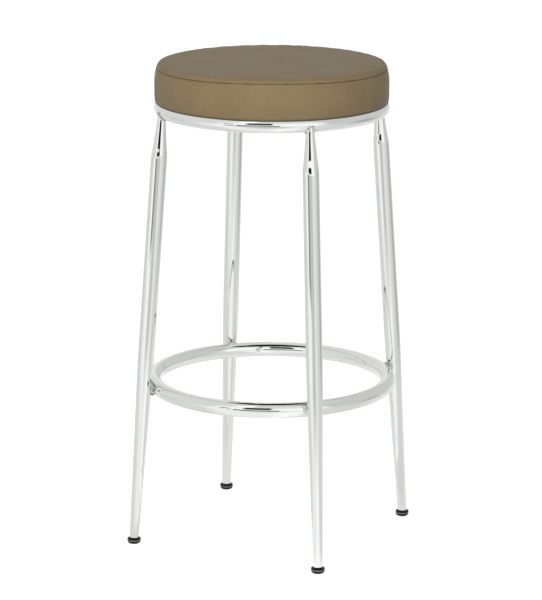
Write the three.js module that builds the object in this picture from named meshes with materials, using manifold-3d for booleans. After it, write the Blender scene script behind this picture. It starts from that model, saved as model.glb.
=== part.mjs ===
// A tall counter stool: a round padded seat on a welded frame of chromed round tube.
// Millimetres, +Z up. The floor is Z = 0, the stool's axis is Z, and the four legs stand on the diagonals.
import * as THREE from 'three';
import { mergeVertices } from 'three/addons/utils/BufferGeometryUtils.js';
import Module from 'manifold-3d';

const wasm = await Module();
wasm.setup();

// The whole stool
const overallHeight = 762;
const touchGap = 0.3; // left between pieces that touch or fit together
const cutOverrun = 2; // how far a cutting shape passes the face that it cuts
const mergeDistance = 0.001;

// How finely round things are drawn
const ringSides = 40; // a multiple of eight, so that a corner falls on every leg
const tubeSides = 12;
const boreSides = 6;
const legSides = 20;
const smallSides = 12;
const gentleSteps = 2; // along a shallow curve
const roundSteps = 3; // round a corner

// Seat
const seatDiameter = 363.6;
const cushionHeight = 62.8; // from the top of the seat ring to the middle of the crown
const crownRise = 4.4; // the middle of the crown over the start of the rolled edge
const rollWidth = 20; // from the start of the rolled edge to the widest part of the side
const seamDrop = 9.9; // the seam under the middle of the crown
const seamInset = 3; // how far the seam pulls in from the widest part of the side
const bulgeDrop = 30.4; // the widest part under the middle of the crown
const tuckRise = 16.8; // from the lip up to where the side starts to turn under
const lipDrop = 2.8; // how far the lip hangs outside the seat ring, below its top
const lipInset = 1.9; // the lip inside the widest part of the side
const coverThickness = 1.2;
const hemWidth = 16; // the flat turned-under strip of the side band, inside the seat ring's centre line
const dustCoverThickness = 0.6;
const dustCoverInset = 8; // its rim inside the seat ring's centre line
const boardThickness = 15;
const boardInset = 6; // the board's edge inside the widest part of the side
const boardChamfer = 4;

// Seat ring
const seatTubeDiameter = 22;
const ringTubeWall = 1.5;
const ringReach = 1.6; // how far the seat ring stands out past the cushion
const seatVentTurn = THREE.MathUtils.degToRad(22.5); // from +X, between a tab and a leg

// Legs
const legSpreadDiameter = 456.4; // across the legs' axes at the floor
const neckOutset = 5.2; // the leg's axis outside the seat ring's centre line, at the ring
const legDiameter = 25.4;
const legWall = 1.5;
const footDiameter = 14.3;
const neckDiameter = 13;
const lowerTaperTop = 295.5; // height where the lower taper ends
const upperTaperLength = 60; // from the seat ring's underside down
const shoulderLength = 10; // the rounded corner at the foot of the upper taper
const neckLap = 5; // how far the neck laps up the side of the seat ring

// Foot ring
const footTubeDiameter = 24;
const footRingHeight = 250.5; // of the tube's centre line
const footVentTurn = THREE.MathUtils.degToRad(-4.5); // from +X
const ventDiameter = 5;

// Welds
const seatWeldWidth = 2.4;
const seatWeldHeight = 4.5;
const footWeldRadius = 9.5;
const footWeldDepth = 5;

// Tabs and fasteners that hold the seat down
const tabWidth = 24;
const tabThickness = 3;
const screwInset = 24; // the screws inside the seat ring's centre line
const screwDiameter = 6;
const screwLength = 20;
const screwHeadDiameter = 12;
const screwHeadHeight = 3.8;
const screwHoleClearance = 0.4;
const washerDiameter = 14;
const washerThickness = 1.2;
const nutBarrelWall = 1.1;
const nutBarrelLength = 10;
const nutFlangeDiameter = 18;
const nutFlangeThickness = 1.5;

// Glides
const glideDiameter = 22;
const glideHeight = 9;
const glideFaceDiameter = 10; // the flat that stands on the floor
const glideRimHeight = 1.6; // the straight side under the top edge
const glideTopChamfer = 0.8;
const stemLength = 20;
const stemPoint = 2;

// Sizes that follow from those above
const fullTurn = Math.PI * 2;
const quarterTurn = Math.PI / 2;
const eighthTurn = Math.PI / 4;
const shoulderTurn = THREE.MathUtils.degToRad(60); // of the seat ring's shoulder, up from level
const seatRadius = seatDiameter / 2;
const seatTubeRadius = seatTubeDiameter / 2;
const footTubeRadius = footTubeDiameter / 2;
const ringTop = overallHeight - cushionHeight;
const seatRingHeight = ringTop - seatTubeRadius;
const seatRingBottom = seatRingHeight - seatTubeRadius;
const seatRingRadius = seatRadius + ringReach - seatTubeRadius;
const hemBottom = ringTop + touchGap;
const boardBottom = hemBottom + coverThickness + touchGap;
const boardTop = boardBottom + boardThickness;
const boardRadius = seatRadius - boardInset;
const seamHeight = overallHeight - seamDrop;
const hemInnerRadius = seatRingRadius - hemWidth;
const dustCoverTop = hemBottom - touchGap;
const dustCoverBottom = dustCoverTop - dustCoverThickness;
const tabTop = dustCoverBottom - touchGap;
const tabBottom = tabTop - tabThickness;
const screwRadius = screwDiameter / 2;
const screwHoleRadius = screwRadius + screwHoleClearance;
const screwPlace = seatRingRadius - screwInset;
const screwHeadTop = tabBottom - touchGap - washerThickness - touchGap;
const nutBoreRadius = screwRadius + touchGap;
const nutBarrelRadius = nutBoreRadius + nutBarrelWall;
const legRadius = legDiameter / 2;
const footRadius = footDiameter / 2;
const neckRadius = neckDiameter / 2;
const legTopPlace = seatRingRadius + neckOutset;
const legFootPlace = legSpreadDiameter / 2;
const legLean = Math.atan2(legFootPlace - legTopPlace, seatRingHeight);
const legPlaceAt = (height) => legFootPlace - height * Math.tan(legLean);
const taperSlope = (legRadius - footRadius) / (lowerTaperTop - glideHeight);
const legRadiusAt = (height) => legRadius - Math.max(0, lowerTaperTop - height) * taperSlope;
const legInnerSide = legPlaceAt(footRingHeight) - legRadiusAt(footRingHeight) / Math.cos(legLean);
const footRingRadius = legInnerSide - touchGap - footTubeRadius;

// Materials
function finish(name, color, roughness, metalness) {
  return new THREE.MeshStandardMaterial({ name, color, roughness, metalness });
}
const vinyl = finish('vinyl', 0x857256, 0.55, 0);
const foam = finish('foam', 0xe9dfae, 1, 0);
const plywood = finish('plywood', 0xc9a878, 0.8, 0);
const blackCloth = finish('black cloth', 0x1c1c1d, 1, 0);
const chrome = finish('chrome', 0xd9dbda, 0.08, 1);
const zincSteel = finish('zinc steel', 0xb9bcbf, 0.35, 1);
const blackPlastic = finish('black plastic', 0x151515, 0.45, 0);

// A solid of revolution about +Z. The outline is [radius, height] pairs, taken anticlockwise:
// out along the bottom, up the outside and back along the top.
function revolve(outline, sides) {
  const points = outline.map(([radius, height]) => new THREE.Vector2(radius, height));
  const onAxis = points[0].x === 0 && points.at(-1).x === 0;
  if (!onAxis) points.push(points[0].clone());
  return new THREE.LatheGeometry(points, sides).rotateX(quarterTurn);
}

// Points along a curve that leaves its start towards a corner and comes into its end from there.
function bend(start, corner, end, steps) {
  const curve = new THREE.QuadraticBezierCurve(
    new THREE.Vector2(...start),
    new THREE.Vector2(...corner),
    new THREE.Vector2(...end),
  );
  return curve.getPoints(steps).map((point) => [point.x, point.y]);
}

// A closed geometry as a solid, with its shared corners merged.
function toSolid(geometry) {
  const bare = geometry.clone();
  bare.deleteAttribute('normal');
  bare.deleteAttribute('uv');
  const merged = mergeVertices(bare, mergeDistance);
  return new wasm.Manifold(
    new wasm.Mesh({
      numProp: 3,
      vertProperties: merged.attributes.position.array,
      triVerts: new Uint32Array(merged.index.array),
    }),
  );
}

function toGeometry(solid) {
  const mesh = solid.getMesh();
  const geometry = new THREE.BufferGeometry();
  geometry.setAttribute('position', new THREE.BufferAttribute(mesh.vertProperties, 3));
  geometry.setIndex(new THREE.BufferAttribute(mesh.triVerts, 1));
  geometry.computeVertexNormals();
  return geometry;
}

function cut(geometry, ...tools) {
  return toGeometry(tools.reduce((solid, tool) => solid.subtract(toSolid(tool)), toSolid(geometry)));
}

function join(geometry, ...others) {
  return toGeometry(others.reduce((solid, other) => solid.add(toSolid(other)), toSolid(geometry)));
}

function named(name, geometry, material) {
  const mesh = new THREE.Mesh(geometry, material);
  mesh.name = name;
  return mesh;
}

// A round bar about +Z between two heights, centred on a point.
function bar(radius, bottom, top, x = 0, y = 0, sides = smallSides) {
  const outline = [[0, bottom], [radius, bottom], [radius, top], [0, top]];
  return revolve(outline, sides).translate(x, y, 0);
}

// A closed ring of round bar about Z.
function ringBar(ringRadius, barRadius, height, sides) {
  const outline = Array.from({ length: sides }, (_, i) => {
    const turn = (i / sides) * fullTurn;
    return [ringRadius + barRadius * Math.cos(turn), height + barRadius * Math.sin(turn)];
  });
  return revolve(outline, ringSides);
}

// A hollow ring of tube with one round vent drilled through its wall towards +X, out or in.
function ringTube(ringRadius, tubeRadius, height, ventOutwards, ventTurn) {
  const reach = ventOutwards ? tubeRadius + cutOverrun : -tubeRadius - cutOverrun;
  const vent = new THREE.CylinderGeometry(ventDiameter / 2, ventDiameter / 2, Math.abs(reach), boreSides)
    .rotateZ(quarterTurn)
    .translate(ringRadius + reach / 2, 0, height)
    .rotateZ(ventTurn);
  const outside = ringBar(ringRadius, tubeRadius, height, tubeSides);
  const inside = ringBar(ringRadius, tubeRadius - ringTubeWall, height, boreSides);
  return cut(outside, inside, vent);
}

// The cushion's side view, from the middle of the crown out, down to the lip, up over the seat
// ring's shoulder and in along the flat hem, drawn an even distance inside the cover's outer face.
// It comes in two lists, split at the seam.
function seatOutline(inset) {
  const top = overallHeight - inset;
  const hem = hemBottom + inset;
  const side = seatRadius - inset;
  const rollStart = [seatRadius - rollWidth, top - crownRise];
  const rollSlope = (crownRise * 2) / rollStart[0];
  const seam = [side - seamInset, seamHeight];
  const rollCorner = [seam[0], rollStart[1] - (seam[0] - rollStart[0]) * rollSlope];
  const bulge = [side, overallHeight - bulgeDrop];
  const lipBottom = ringTop - lipDrop + inset;
  const lip = [seatRadius - lipInset + inset * Math.tan(eighthTurn / 2), lipBottom];
  const shoulderReach = seatTubeRadius + touchGap * 2 + inset;
  const shoulder = [
    seatRingRadius + shoulderReach * Math.cos(shoulderTurn),
    seatRingHeight + shoulderReach * Math.sin(shoulderTurn),
  ];
  const panel = [
    ...bend([0, top], [rollStart[0] / 2, top], rollStart, gentleSteps),
    ...bend(rollStart, rollCorner, seam, roundSteps).slice(1),
  ];
  const band = [
    ...bend(seam, [side, (seam[1] + bulge[1]) / 2], bulge, gentleSteps),
    ...bend([side, lipBottom + tuckRise], [side, lipBottom], lip, gentleSteps),
    shoulder,
    [seatRingRadius, hem],
    [hemInnerRadius, hem],
  ];
  return { panel, band };
}

const lifted = (outline, rise) => outline.map(([radius, height]) => [radius, height + rise]);

// The top panel of the cover, down to the seam.
function coverTop() {
  const outer = seatOutline(0).panel;
  const inner = seatOutline(coverThickness).panel;
  const seamSide = (outline) => [...outline.slice(0, -1), ...lifted(outline.slice(-1), touchGap)];
  return revolve([...seamSide(inner), ...seamSide(outer).reverse()], ringSides);
}

// The side band of the cover, from the seam to the inner edge of the hem.
function coverBand() {
  const outer = seatOutline(0).band;
  const inner = seatOutline(coverThickness).band;
  return revolve([...outer.reverse(), ...inner], ringSides);
}

// An outline that runs downwards, ended level at a height between two of its points.
function endedAt(outline, height) {
  const below = outline.findIndex(([, pointHeight]) => pointHeight < height);
  const [lastRadius, lastHeight] = outline[below - 1];
  const [nextRadius, nextHeight] = outline[below];
  const share = (lastHeight - height) / (lastHeight - nextHeight);
  return [...outline.slice(0, below), [THREE.MathUtils.lerp(lastRadius, nextRadius, share), height]];
}

// The foam fills the cover over the board and wraps the board's edge.
function foamPad() {
  const { panel, band } = seatOutline(coverThickness + touchGap);
  const skirtBottom = boardBottom + boardChamfer;
  const boardReach = boardRadius + touchGap;
  const padBottom = boardTop + touchGap;
  const underside = [[0, padBottom], [boardReach, padBottom], [boardReach, skirtBottom]];
  const side = endedAt([...panel, ...band.slice(1)], skirtBottom);
  return revolve([...underside, ...side.reverse()], ringSides);
}

// The round board, drilled for the T-nuts and countersunk for their flanges.
function seatBoard() {
  const disc = revolve([
    [0, boardBottom],
    [boardRadius - boardChamfer, boardBottom],
    [boardRadius, boardBottom + boardChamfer],
    [boardRadius, boardTop],
    [0, boardTop],
  ], ringSides);
  const drills = screwTurns.map((turn) => {
    const barrel = bar(nutBarrelRadius + touchGap, boardBottom - cutOverrun, boardTop + cutOverrun, screwPlace);
    const seat = boardTop - nutFlangeThickness - touchGap;
    const flange = bar(nutFlangeDiameter / 2 + touchGap, seat, boardTop + cutOverrun, screwPlace);
    return join(barrel, flange).rotateZ(turn);
  });
  return cut(disc, ...drills);
}

// The thin cloth stretched flat over the hem, pierced by the screws.
function dustCover() {
  const disc = bar(seatRingRadius - dustCoverInset, dustCoverBottom, dustCoverTop, 0, 0, ringSides);
  const low = dustCoverBottom - cutOverrun;
  const high = dustCoverTop + cutOverrun;
  return cut(disc, ...screwTurns.map((turn) => bar(screwHoleRadius, low, high, screwPlace).rotateZ(turn)));
}

// A leg's side view along its own axis, which starts at the floor. growth moves it out or in.
function legOutline(growth, bottom, top) {
  const along = (height) => height / Math.cos(legLean);
  const taperBottom = seatRingBottom - upperTaperLength;
  const shoulderHeight = shoulderLength / 2;
  const shoulderTopRadius = THREE.MathUtils.lerp(legRadius, neckRadius, shoulderHeight / upperTaperLength);
  const places = [
    [footRadius, bottom],
    [footRadius, glideHeight],
    [legRadius, lowerTaperTop],
    ...bend(
      [legRadius, taperBottom - shoulderHeight],
      [legRadius, taperBottom],
      [shoulderTopRadius, taperBottom + shoulderHeight],
      gentleSteps,
    ),
    [neckRadius, seatRingBottom],
    [neckRadius, top],
  ];
  return places.map(([radius, height]) => [radius + growth, along(height)]);
}

// The space a leg needs up to a height, solid and with the gap to its neighbours.
function legSpace(top) {
  const outline = legOutline(touchGap, glideHeight, top);
  const bottomEnd = [0, outline[0][1]];
  const topEnd = [0, outline.at(-1)[1]];
  return ontoLegAxis(revolve([bottomEnd, ...outline, topEnd], legSides));
}

// The space the seat ring needs, with the gap to its neighbours.
function seatRingSpace() {
  return ringBar(seatRingRadius, seatTubeRadius + touchGap, seatRingHeight, tubeSides);
}

function ontoLegAxis(geometry) {
  return geometry.rotateY(-legLean).translate(legFootPlace, 0, 0);
}

// A double-tapered leg of tube that leans in along X, trimmed level over the glide
// and notched to the seat ring.
function leg() {
  const low = glideHeight - cutOverrun - legDiameter * Math.tan(legLean);
  const high = seatRingBottom + neckLap;
  const outer = legOutline(0, low, high);
  const inner = legOutline(-legWall, low, high);
  const tube = ontoLegAxis(revolve([...outer, ...inner.reverse()], legSides));
  const underFoot = new THREE.BoxGeometry(legDiameter * 2, legDiameter * 2, legDiameter)
    .translate(legFootPlace, 0, glideHeight + touchGap - legDiameter / 2);
  return cut(tube, underFoot, seatRingSpace());
}

// The bead round the neck, under the seat ring.
function seatWeld() {
  const middle = seatRingBottom / Math.cos(legLean);
  const outer = neckRadius + seatWeldWidth;
  const bead = revolve([
    [0, middle - seatWeldHeight],
    [neckRadius, middle - seatWeldHeight],
    [outer, middle - seatWeldHeight / 3],
    [outer, middle + seatWeldHeight / 3],
    [neckRadius, middle + seatWeldHeight],
    [0, middle + seatWeldHeight],
  ], smallSides);
  return cut(ontoLegAxis(bead), seatRingSpace(), legSpace(seatRingHeight));
}

// The bead that fills the corner between a leg and the foot ring, round the point where they meet.
function footWeld() {
  const bead = new THREE.SphereGeometry(1, smallSides, boreSides)
    .scale(footWeldDepth, footWeldRadius, footWeldRadius)
    .translate(legInnerSide, 0, footRingHeight);
  const ringSpace = ringBar(footRingRadius, footTubeRadius + touchGap, footRingHeight, tubeSides);
  return cut(bead, ringSpace, legSpace(seatRingBottom));
}

// A glide: a domed foot that stands flat on the floor, with a stem pressed up into the leg.
function glide() {
  const faceRadius = glideFaceDiameter / 2;
  const rimRadius = glideDiameter / 2;
  const rimBottom = glideHeight - glideTopChamfer - glideRimHeight;
  const foot = revolve([
    [0, 0],
    ...bend([faceRadius, 0], [rimRadius, 0], [rimRadius, rimBottom], roundSteps),
    [rimRadius, glideHeight - glideTopChamfer],
    [rimRadius - glideTopChamfer, glideHeight],
    [0, glideHeight],
  ], smallSides).translate(legPlaceAt(glideHeight), 0, 0);
  const stemRadius = footRadius - legWall - touchGap;
  const stemTop = glideHeight + stemLength;
  const stem = revolve([
    [0, glideHeight - glideTopChamfer],
    [stemRadius, glideHeight - glideTopChamfer],
    [stemRadius, stemTop - stemPoint],
    [stemRadius - stemPoint, stemTop],
    [0, stemTop],
  ], smallSides);
  return join(foot, ontoLegAxis(stem));
}

// A flat tab, round at its inner end and notched to the inside of the seat ring.
function tab() {
  const halfWidth = tabWidth / 2;
  const shape = new THREE.Shape();
  shape.moveTo(seatRingRadius, -halfWidth);
  shape.lineTo(seatRingRadius, halfWidth);
  shape.lineTo(screwPlace, halfWidth);
  shape.absarc(screwPlace, 0, halfWidth, quarterTurn, quarterTurn * 3, false);
  const hole = new THREE.Path();
  hole.absarc(screwPlace, 0, screwHoleRadius, 0, fullTurn, true);
  shape.holes.push(hole);
  const plate = new THREE.ExtrudeGeometry(shape, {
    depth: tabThickness,
    bevelEnabled: false,
    curveSegments: boreSides,
  }).translate(0, 0, tabBottom);
  return cut(plate, seatRingSpace());
}

function screw() {
  const headRadius = screwHeadDiameter / 2;
  const head = screwHeadHeight;
  return revolve([
    [0, -head],
    [headRadius - head / 2, -head],
    [headRadius, -head / 3],
    [headRadius, 0],
    [screwRadius, 0],
    [screwRadius, screwLength],
    [0, screwLength],
  ], smallSides).translate(screwPlace, 0, screwHeadTop);
}

function washer() {
  const bottom = screwHeadTop + touchGap;
  return revolve([
    [nutBoreRadius, bottom],
    [washerDiameter / 2, bottom],
    [washerDiameter / 2, bottom + washerThickness],
    [nutBoreRadius, bottom + washerThickness],
  ], smallSides).translate(screwPlace, 0, 0);
}

// A T-nut: a threaded barrel hanging from a flange that is flush with the top of the board.
function tNut() {
  const flangeBottom = boardTop - nutFlangeThickness;
  const barrelBottom = boardTop - nutBarrelLength;
  return revolve([
    [nutBoreRadius, barrelBottom],
    [nutBarrelRadius, barrelBottom],
    [nutBarrelRadius, flangeBottom],
    [nutFlangeDiameter / 2, flangeBottom],
    [nutFlangeDiameter / 2, boardTop],
    [nutBoreRadius, boardTop],
  ], smallSides).translate(screwPlace, 0, 0);
}

// The legs stand on the diagonals, with -Y the front. The screws sit between them, on the axes.
const legPlaces = [
  ['front_left', eighthTurn * 5],
  ['front_right', eighthTurn * 7],
  ['back_right', eighthTurn],
  ['back_left', eighthTurn * 3],
];
const screwPlaces = [
  ['right', 0],
  ['back', quarterTurn],
  ['left', quarterTurn * 2],
  ['front', quarterTurn * 3],
];
const screwTurns = screwPlaces.map(([, turn]) => turn);

// The pieces made once are shared by the four places, each as its own mesh in a turned group.
function corners(places, pieces) {
  return places.map(([place, turn]) => {
    const corner = new THREE.Group();
    corner.rotation.z = turn;
    corner.add(...pieces.map(([name, geometry, material]) => named(`${name}_${place}`, geometry, material)));
    return corner;
  });
}

const seat = new THREE.Group();
seat.add(
  named('cover_top', coverTop(), vinyl),
  named('cover_band', coverBand(), vinyl),
  named('foam_pad', foamPad(), foam),
  named('seat_board', seatBoard(), plywood),
  named('dust_cover', dustCover(), blackCloth),
);

const frame = new THREE.Group();
frame.add(
  named('seat_ring', ringTube(seatRingRadius, seatTubeRadius, seatRingHeight, false, seatVentTurn), chrome),
  named('foot_ring', ringTube(footRingRadius, footTubeRadius, footRingHeight, true, footVentTurn), chrome),
  ...corners(legPlaces, [
    ['leg', leg(), chrome],
    ['seat_weld', seatWeld(), chrome],
    ['foot_weld', footWeld(), chrome],
    ['glide', glide(), blackPlastic],
  ]),
  ...corners(screwPlaces, [
    ['tab', tab(), chrome],
    ['screw', screw(), zincSteel],
    ['washer', washer(), zincSteel],
    ['t_nut', tNut(), zincSteel],
  ]),
);

const stool = new THREE.Group();
stool.add(seat, frame);

export default stool;
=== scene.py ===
"""The looks of a tall counter stool: a round vinyl seat on a welded frame of chromed tube.

Lengths and places are millimetres with +Z up, and become metres where a mesh is filled. The stool
stands on Z = 0 with its axis on Z. The legs stand on the diagonals, and -Y is the front.
"""

import logging
import math
from dataclasses import dataclass, field
from enum import Enum
from typing import Any

import bmesh
import bpy
import numpy as np
from mathutils import Euler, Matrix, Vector

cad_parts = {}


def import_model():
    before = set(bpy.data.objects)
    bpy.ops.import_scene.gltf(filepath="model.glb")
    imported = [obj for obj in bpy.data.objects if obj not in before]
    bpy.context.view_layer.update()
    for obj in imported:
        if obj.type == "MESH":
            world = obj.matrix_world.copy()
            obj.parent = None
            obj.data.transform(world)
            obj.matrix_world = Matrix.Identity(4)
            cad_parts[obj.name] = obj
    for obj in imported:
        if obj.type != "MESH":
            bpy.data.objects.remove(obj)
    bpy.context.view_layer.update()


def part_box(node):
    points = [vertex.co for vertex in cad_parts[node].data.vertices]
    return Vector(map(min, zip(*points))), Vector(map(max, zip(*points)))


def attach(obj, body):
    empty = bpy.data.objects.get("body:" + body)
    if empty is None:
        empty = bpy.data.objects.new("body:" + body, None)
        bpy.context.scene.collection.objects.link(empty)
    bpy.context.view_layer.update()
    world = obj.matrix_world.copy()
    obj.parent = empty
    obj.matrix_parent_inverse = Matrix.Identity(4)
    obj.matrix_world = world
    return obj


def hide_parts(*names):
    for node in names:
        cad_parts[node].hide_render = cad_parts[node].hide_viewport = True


log = logging.getLogger("stool")

MM = 0.001  # one millimetre in metres
TURN = 2 * math.pi
UP = np.array([0.0, 0.0, 1.0])
TOUCH_GAP = 0.3  # what the CAD leaves between pieces that touch
MERGE_GAP = 0.0001  # points of a mesh that lie closer than this are one

Pair = tuple[float, float]
Stops = tuple[Pair, ...]
Colour = tuple[float, float, float, float]
Tree = bpy.types.NodeTree
Socket = bpy.types.NodeSocket
Source = bpy.types.NodeSocket | bpy.types.Node  # what an input can be linked from

# The sockets of a Mix node that take and give colours.
MIX_FROM, MIX_TO, MIX_RESULT = 6, 7, 2


class Place(Enum):
    """A place round the stool, as its turn about the axis in degrees from +X."""

    @property
    def label(self) -> str:
        """The place as the names of the CAD's nodes end."""
        return self.name.lower()


class LegPlace(Place):
    """Where the legs stand."""

    FRONT_LEFT = 225.0
    FRONT_RIGHT = 315.0
    BACK_RIGHT = 45.0
    BACK_LEFT = 135.0


class TabPlace(Place):
    """Where the tabs are that the seat is screwed to."""

    RIGHT = 0.0
    BACK = 90.0
    LEFT = 180.0
    FRONT = 270.0


# Numbers and colours


def linear(code: str) -> Colour:
    """Turns an sRGB hex colour to linear light: c / 12.92 up to 0.04045, else ((c + 0.055) / 1.055) ** 2.4.

    Args:
        code: Six hex digits after a hash.

    Returns:
        Red, green, blue and an alpha of 1.
    """
    parts = np.array([int(code[i : i + 2], 16) for i in (1, 3, 5)]) / 255
    light = np.where(parts <= 0.04045, parts / 12.92, ((parts + 0.055) / 1.055) ** 2.4)
    return (*map(float, light), 1.0)


def grey(level: float) -> Colour:
    """A linear colour with its red, green and blue alike."""
    return (level, level, level, 1.0)


def angles(count: int) -> np.ndarray:
    """Even angles round a whole turn, from 0."""
    return np.arange(count) / count * TURN


def eased(share: np.ndarray) -> np.ndarray:
    """A share held between 0 and 1 that leaves and arrives gently: x^2 (3 - 2x)."""
    held = np.clip(share, 0, 1)
    return held**2 * (3 - 2 * held)


def bend(start: tuple, corner: tuple, end: tuple, count: int) -> np.ndarray:
    """Points on the curve (1-t)^2 start + 2t(1-t) corner + t^2 end.

    Args:
        start: Where the curve leaves, towards the corner.
        corner: The corner that both ends point at.
        end: Where the curve arrives, from the corner.
        count: How many points, both ends counted.

    Returns:
        The points, one a row.
    """
    t = np.linspace(0, 1, count)[:, None]
    return (1 - t) ** 2 * np.array(start) + 2 * t * (1 - t) * np.array(corner) + t**2 * np.array(end)


def lengths_along(path: np.ndarray) -> np.ndarray:
    """The distance along a path to each of its points."""
    steps = np.linalg.norm(np.diff(path, axis=0), axis=1)
    return np.concatenate([[0.0], np.cumsum(steps)])


def resampled(path: np.ndarray, places: np.ndarray) -> np.ndarray:
    """The points of a path at the given distances along it."""
    along = lengths_along(path)
    return np.stack([np.interp(places, along, path[:, i]) for i in range(path.shape[1])], axis=1)


def smooth_noise(rng: np.random.Generator, count: int, waves: tuple[int, int]) -> np.ndarray:
    """A closed run of noise: the sum of cos(k t + phase) for each whole k between two numbers.

    Args:
        rng: The seeded source of the phases and heights.
        count: How many samples round the turn.
        waves: The fewest and the most waves round the turn.

    Returns:
        The noise, with a standard deviation of 1.
    """
    k = np.arange(waves[0], waves[1] + 1)[:, None]
    heights = rng.normal(size=k.shape)
    phases = rng.uniform(0, TURN, size=k.shape)
    noise = (heights * np.cos(k * angles(count) + phases)).sum(axis=0)
    return noise / noise.std()


@dataclass(frozen=True)
class Box:
    """The lowest and highest corner of a CAD node, in millimetres."""

    low: np.ndarray
    high: np.ndarray

    @classmethod
    def of(cls, node: str) -> "Box":
        """Reads a node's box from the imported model."""
        low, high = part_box(node)
        return cls(np.array(low) / MM, np.array(high) / MM)

    @property
    def radius(self) -> float:
        """Half the width along X, which is the radius of a round piece that stands upright."""
        return float(self.high[0] - self.low[0]) / 2

    @property
    def middle(self) -> np.ndarray:
        """The middle of the box."""
        return (self.low + self.high) / 2

    @property
    def top(self) -> float:
        """The highest Z."""
        return float(self.high[2])

    @property
    def bottom(self) -> float:
        """The lowest Z."""
        return float(self.low[2])


# Surfaces


@dataclass
class Surface:
    """Points and four-cornered faces of a mesh in the making."""

    points: np.ndarray
    faces: np.ndarray

    @classmethod
    def grid(cls, points: np.ndarray, rows_close: bool = False) -> "Surface":
        """Joins a grid of points, row i and column j, with a face between each four neighbours.

        Args:
            points: An array of rows x columns x 3, of which the last column joins the first.
            rows_close: True joins the last row to the first too.

        Returns:
            The surface.
        """
        rows, columns = points.shape[:2]
        i = np.arange(rows if rows_close else rows - 1)[:, None]
        j = np.arange(columns)[None, :]
        down, right = (i + 1) % rows, (j + 1) % columns
        corners = [i * columns + j, i * columns + right, down * columns + right, down * columns + j]
        faces = np.stack(np.broadcast_arrays(*corners), axis=-1).reshape(-1, 4)
        return cls(points.reshape(-1, 3), faces)

    @classmethod
    def joined(cls, surfaces: list["Surface"]) -> "Surface":
        """Puts several surfaces into one, each with its own points."""
        starts = np.cumsum([0] + [len(s.points) for s in surfaces[:-1]])
        faces = [s.faces + start for s, start in zip(surfaces, starts)]
        return cls(np.concatenate([s.points for s in surfaces]), np.concatenate(faces))

    def moved(self, axes: "Axes") -> "Surface":
        """The same surface, placed in another set of axes."""
        return Surface(axes.place(self.points), self.faces)


@dataclass(frozen=True)
class Axes:
    """A place with three directions at right angles: a point p goes to origin + p.x x + p.y y + p.z z."""

    origin: np.ndarray
    x: np.ndarray
    y: np.ndarray
    z: np.ndarray

    @classmethod
    def about(cls, origin: np.ndarray, z: np.ndarray, near_x: np.ndarray) -> "Axes":
        """Makes axes from a Z direction and a direction that X lies near.

        Args:
            origin: Where the axes meet.
            z: The Z direction.
            near_x: A direction whose part at right angles to Z becomes X.

        Returns:
            The axes.
        """
        unit_z = z / np.linalg.norm(z)
        flat = near_x - unit_z * (near_x @ unit_z)
        unit_x = flat / np.linalg.norm(flat)
        return cls(origin, unit_x, np.cross(unit_z, unit_x), unit_z)

    @classmethod
    def turned(cls, degrees: float, reach: float = 0.0) -> "Axes":
        """The stool's own axes turned about Z, then moved out along their X.

        Args:
            degrees: The turn.
            reach: How far out they move.

        Returns:
            The axes.
        """
        t = math.radians(degrees)
        x = np.array([math.cos(t), math.sin(t), 0.0])
        return cls(x * reach, x, np.array([-x[1], x[0], 0.0]), UP)

    def place(self, points: np.ndarray) -> np.ndarray:
        """Moves points from these axes to the stool's."""
        return self.origin + points @ np.stack([self.x, self.y, self.z])


def revolved(outline: np.ndarray, sides: int, closed: bool = False) -> Surface:
    """A surface of revolution: point (r, z) turned through t goes to (r cos t, r sin t, z).

    Args:
        outline: Rows of radius and height.
        sides: How many columns round the turn.
        closed: True where the outline closes on itself, as a ring's does.

    Returns:
        The surface.
    """
    t = angles(sides)
    r, z = outline[:, :1], outline[:, 1:]
    points = np.stack(np.broadcast_arrays(r * np.cos(t), r * np.sin(t), z), axis=-1)
    return Surface.grid(points, rows_close=closed)


def swept(path: np.ndarray, across: np.ndarray, radii: np.ndarray, sides: int, closed: bool) -> Surface:
    """A round bar along a path: p + r (cos a u + sin a v), where v is the tangent crossed with u.

    Args:
        path: The bar's middle, one point a row.
        across: For each point, or for all, a direction that u lies near.
        radii: The bar's radius at each point.
        sides: How many columns round the bar.
        closed: True where the path closes on itself.

    Returns:
        The surface, open at the ends of an open path.
    """
    if closed:
        tangent = np.roll(path, -1, axis=0) - np.roll(path, 1, axis=0)
    else:
        tangent = np.gradient(path, axis=0)
    tangent /= np.linalg.norm(tangent, axis=1, keepdims=True)
    u = across - tangent * (across * tangent).sum(axis=1, keepdims=True)
    u /= np.linalg.norm(u, axis=1, keepdims=True)
    v = np.cross(tangent, u)
    a = angles(sides)[None, :, None]
    ring = np.cos(a) * u[:, None] + np.sin(a) * v[:, None]
    points = path[:, None] + radii[:, None, None] * ring
    return Surface.grid(points, rows_close=closed)


def rounded_wall(
    inner: float, outer: float | np.ndarray, low: float, high: float, edge: float
) -> list[tuple]:
    """The section of a flat ring with its four edges taken off.

    Args:
        inner: The radius of the hole.
        outer: The radius of the rim, or one for each angle.
        low: The height of the underside.
        high: The height of the top.
        edge: How much is taken off each edge.

    Returns:
        Pairs of radius and height, from the foot of the hole out, up and back.
    """
    return [
        (inner, low + edge),
        (inner + edge, low),
        (outer - edge, low),
        (outer, low + edge),
        (outer, high - edge),
        (outer - edge, high),
        (inner + edge, high),
        (inner, high - edge),
    ]


def make_object(name: str, surface: Surface) -> bpy.types.Object:
    """Fills a mesh in metres with a surface as it is, and links its object to the scene."""
    mesh = bpy.data.meshes.new(name)
    mesh.from_pydata((surface.points * MM).tolist(), [], surface.faces.tolist())
    made = bpy.data.objects.new(name, mesh)
    bpy.context.scene.collection.objects.link(made)
    return made


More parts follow.
